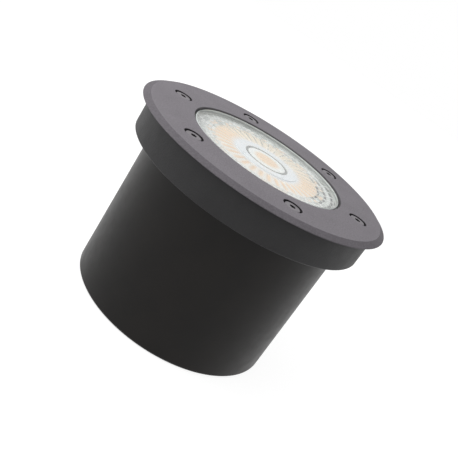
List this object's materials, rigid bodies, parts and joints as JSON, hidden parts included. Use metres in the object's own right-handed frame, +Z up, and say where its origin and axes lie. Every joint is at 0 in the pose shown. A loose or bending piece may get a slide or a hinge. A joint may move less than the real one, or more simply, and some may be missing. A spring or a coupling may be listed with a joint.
{
  "type": "in ground well light",
  "caption": "Round in-ground well light: bevelled face plate with flush glass over a finned lamp unit, standing in a straight burial sleeve.",
  "frame": {"origin": "centre of the burial sleeve's underside", "axes": "+Z up along the sleeve's axis, out of the glass; +X towards the cable gland and the first face screw"},
  "size_m": [0.15, 0.15, 0.1054],
  "materials": {
    "sleeve_plastic": "satin moulded near-black plastic",
    "black_rubber": "matt moulded rubber",
    "housing_paint": "fine-textured dark charcoal powder coat on die-cast aluminium",
    "gland_nylon": "moulded nylon",
    "brass_screw": "plain brass",
    "board_laminate": "solder-masked circuit board",
    "zinc_steel": "zinc-plated steel",
    "component_black": "moulded epoxy and ferrite",
    "capacitor_film": "dark shrink film on aluminium cans",
    "terminal_green": "moulded terminal block",
    "lead_red": "lead insulation",
    "lead_black": "lead insulation",
    "heat_aluminium": "turned aluminium plate",
    "pad_grey": "soft heat-transfer pad",
    "led_ceramic": "white ceramic carrier",
    "phosphor": "warm phosphor in silicone",
    "white_plastic": "white moulded plastic",
    "holder_plastic": "white moulded plastic ring",
    "optic_clear": "clear moulded optic with fine facets",
    "face_paint": "fine-textured grey powder coat",
    "lens_glass": "clear toughened glass",
    "gasket_silicone": "pale translucent silicone",
    "screw_steel": "dark-coated stainless steel"
  },
  "bodies": {
    "sleeve": {"burial_sleeve": "sleeve_plastic", "cable_grommet": "black_rubber"},
    "lamp": {"lamp_housing": "housing_paint", "gland_body": "gland_nylon", "gland_seal": "black_rubber", "gland_face_seal": "black_rubber", "gland_locknut": "gland_nylon", "pressure_vent": "gland_nylon", "vent_seal": "black_rubber", "earth_screw": "brass_screw", "driver_board": "board_laminate", "driver_screws": "zinc_steel", "driver_transformer": "component_black", "driver_capacitors": "capacitor_film", "driver_inductor": "component_black", "driver_chip": "component_black", "mains_terminal": "terminal_green", "lead_terminal": "terminal_green", "led_lead_positive": "lead_red", "led_lead_negative": "lead_black", "heat_plate": "heat_aluminium", "heat_plate_screws": "zinc_steel", "thermal_pad": "pad_grey", "led_board": "led_ceramic", "led_emitter": "phosphor", "led_holder": "white_plastic", "led_holder_screws": "zinc_steel", "optic_holder": "holder_plastic", "optic_lens": "optic_clear"},
    "gland_nut": {"gland_nut": "gland_nylon"},
    "front": {"face_plate": "face_paint", "lens_glass": "lens_glass", "lens_gasket": "gasket_silicone", "screw_washers": "black_rubber"},
    "face_screw_1": {"face_screw_1": "screw_steel"},
    "face_screw_2": {"face_screw_2": "screw_steel"},
    "face_screw_3": {"face_screw_3": "screw_steel"},
    "face_screw_4": {"face_screw_4": "screw_steel"},
    "face_screw_5": {"face_screw_5": "screw_steel"},
    "face_screw_6": {"face_screw_6": "screw_steel"}
  },
  "joints": [
    {"name": "lamp_lift", "type": "slide", "parent": "sleeve", "child": "lamp", "axis": [0, 0, 1], "range_m": [0, 0.08]},
    {"name": "front_lift", "type": "slide", "parent": "lamp", "child": "front", "axis": [0, 0, 1], "range_m": [0, 0.03]},
    {"name": "gland_nut_turn", "type": "hinge", "parent": "lamp", "child": "gland_nut", "pos_m": [0.021, 0, 0.0286], "axis": [0, 0, 1], "continuous": true},
    {"name": "face_screw_1_out", "type": "slide", "parent": "front", "child": "face_screw_1", "axis": [0, 0, 1], "range_m": [0, 0.02]},
    {"name": "face_screw_2_out", "type": "slide", "parent": "front", "child": "face_screw_2", "axis": [0, 0, 1], "range_m": [0, 0.02]},
    {"name": "face_screw_3_out", "type": "slide", "parent": "front", "child": "face_screw_3", "axis": [0, 0, 1], "range_m": [0, 0.02]},
    {"name": "face_screw_4_out", "type": "slide", "parent": "front", "child": "face_screw_4", "axis": [0, 0, 1], "range_m": [0, 0.02]},
    {"name": "face_screw_5_out", "type": "slide", "parent": "front", "child": "face_screw_5", "axis": [0, 0, 1], "range_m": [0, 0.02]},
    {"name": "face_screw_6_out", "type": "slide", "parent": "front", "child": "face_screw_6", "axis": [0, 0, 1], "range_m": [0, 0.02]}
  ]
}
